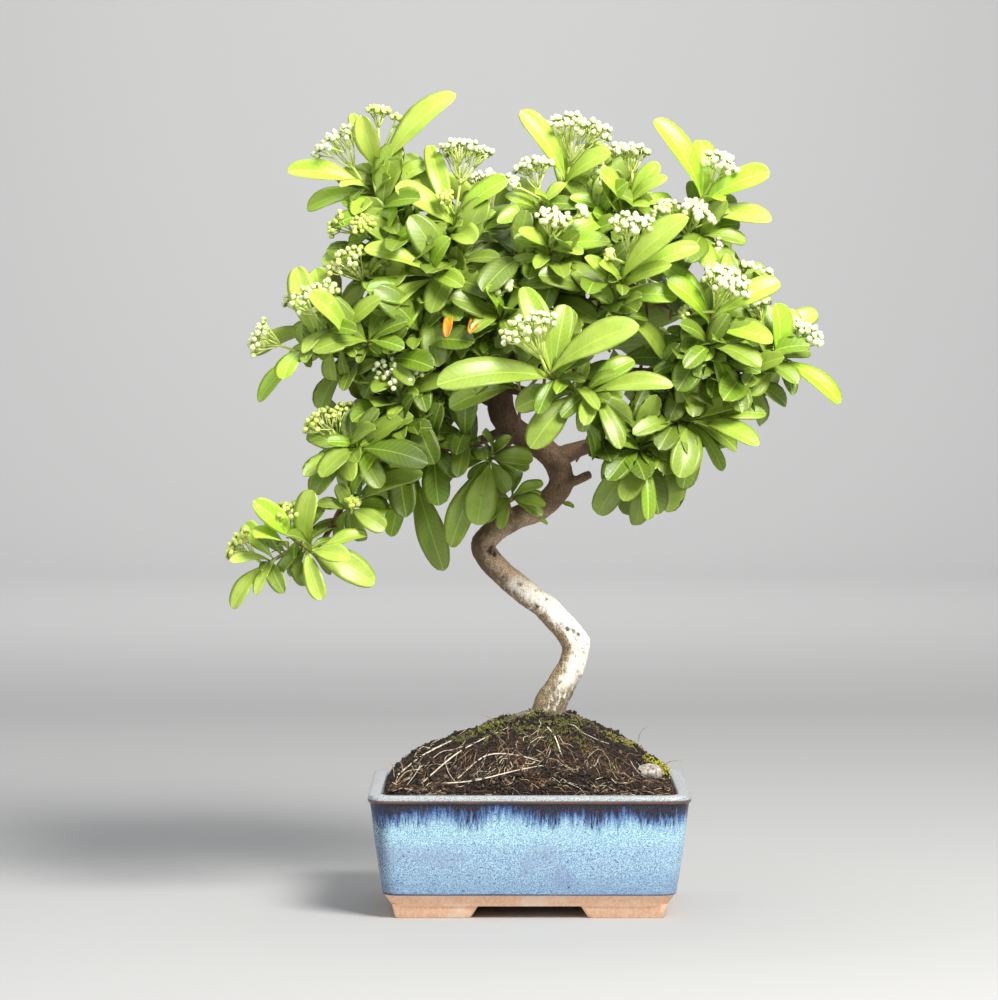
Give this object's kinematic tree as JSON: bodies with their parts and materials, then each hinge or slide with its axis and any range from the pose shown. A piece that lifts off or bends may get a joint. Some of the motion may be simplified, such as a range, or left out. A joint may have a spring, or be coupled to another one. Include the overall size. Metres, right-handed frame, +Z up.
{
  "type": "potted bonsai",
  "caption": "Firethorn bonsai in bud with a winding trunk, leafy sprays and pale bud heads, in a shallow rectangular blue-glazed footed pot.",
  "frame": {"origin": "on the ground under the middle of the pot, which is also the middle of the whole within 3 mm", "axes": "+Z up; the pot's long side runs along X and its front, the tree's viewing side, faces -Y"},
  "size_m": [0.3443, 0.2309, 0.461],
  "materials": {
    "glazed_pot": "mottled sky-blue glaze under a dark drip band, bare fired clay below",
    "drainage_mesh": "matte",
    "soil": null,
    "stone": "rough",
    "bark": "grey-brown bark, paler below",
    "leaves": null,
    "buds": null
  },
  "bodies": {
    "root": {"bud_heads_01": "buds", "bud_heads_02": "buds", "bud_heads_03": "buds", "bud_heads_04": "buds", "bud_heads_05": "buds", "bud_heads_06": "buds", "bud_heads_07": "buds", "bud_heads_08": "buds", "bud_heads_09": "buds", "bud_heads_10": "buds", "bud_heads_11": "buds", "bud_heads_12": "buds", "bud_heads_13": "buds", "bud_heads_14": "buds", "bud_heads_15": "buds", "bud_heads_16": "buds", "bud_heads_17": "buds", "bud_heads_18": "buds", "bud_heads_19": "buds", "bud_heads_20": "buds", "bud_heads_21": "buds", "bud_heads_22": "buds", "bud_heads_23": "buds", "drainage_mesh_left": "drainage_mesh", "drainage_mesh_right": "drainage_mesh", "leafy_spray_01": "leaves", "leafy_spray_02": "leaves", "leafy_spray_03": "leaves", "leafy_spray_04": "leaves", "leafy_spray_05": "leaves", "leafy_spray_06": "leaves", "leafy_spray_07": "leaves", "leafy_spray_08": "leaves", "leafy_spray_09": "leaves", "leafy_spray_10": "leaves", "leafy_spray_11": "leaves", "leafy_spray_12": "leaves", "leafy_spray_13": "leaves", "leafy_spray_14": "leaves", "leafy_spray_15": "leaves", "leafy_spray_16": "leaves", "leafy_spray_17": "leaves", "leafy_spray_18": "leaves", "leafy_spray_19": "leaves", "leafy_spray_20": "leaves", "leafy_spray_21": "leaves", "leafy_spray_22": "leaves", "leafy_spray_23": "leaves", "leafy_spray_24": "leaves", "leafy_spray_25": "leaves", "leafy_spray_26": "leaves", "leafy_spray_27": "leaves", "leafy_spray_28": "leaves", "leafy_spray_29": "leaves", "leafy_spray_30": "leaves", "leafy_spray_31": "leaves", "pot": "glazed_pot", "soil": "soil", "stone_pale": "stone", "tree_wood": "bark"}
  },
  "joints": []
}
